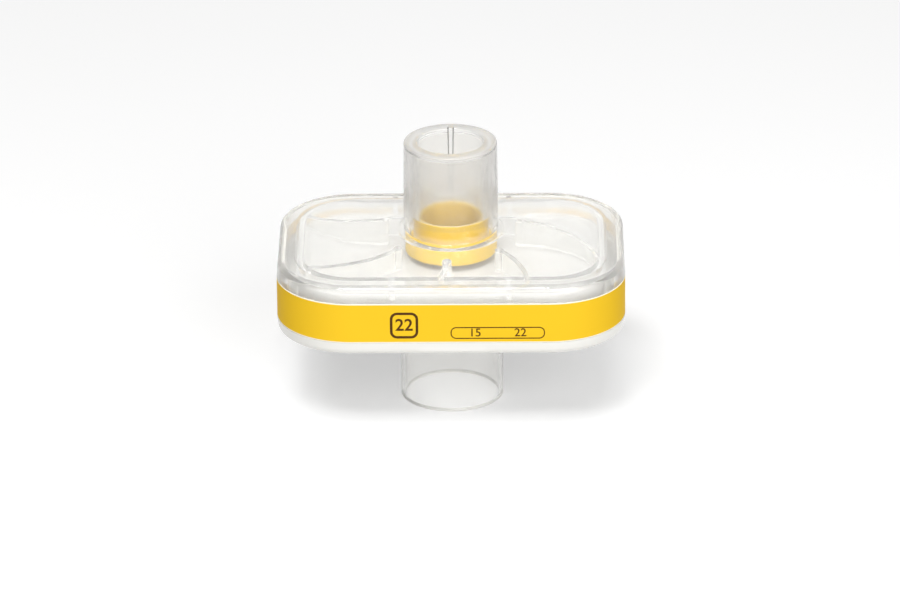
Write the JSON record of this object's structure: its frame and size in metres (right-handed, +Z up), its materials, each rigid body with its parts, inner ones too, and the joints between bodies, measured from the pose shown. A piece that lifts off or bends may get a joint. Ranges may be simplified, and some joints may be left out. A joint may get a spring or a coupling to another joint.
{
  "type": "breathing circuit filter",
  "caption": "Clear rounded rectangular breathing filter with a conical port on each side, swirl vanes, a clamped filter pad and a yellow wrap-around label.",
  "frame": {"origin": "centre of the lower port's mouth, on the surface that the filter stands on", "axes": "+X along the long side of the housing, +Z up along both ports"},
  "size_m": [0.082, 0.058, 0.0644],
  "materials": {
    "clear_shell_top": "clear moulded plastic, matt on the male cone",
    "clear_shell_bottom": "clear moulded plastic",
    "filter_felt": "white felted fibre",
    "yellow_moulding": "satin yellow moulding",
    "label_film": "satin printed film"
  },
  "bodies": {
    "root": {"top_housing": "clear_shell_top", "bottom_housing": "clear_shell_bottom", "filter_medium": "filter_felt", "port_ring": "yellow_moulding", "label_band": "label_film"}
  },
  "joints": []
}
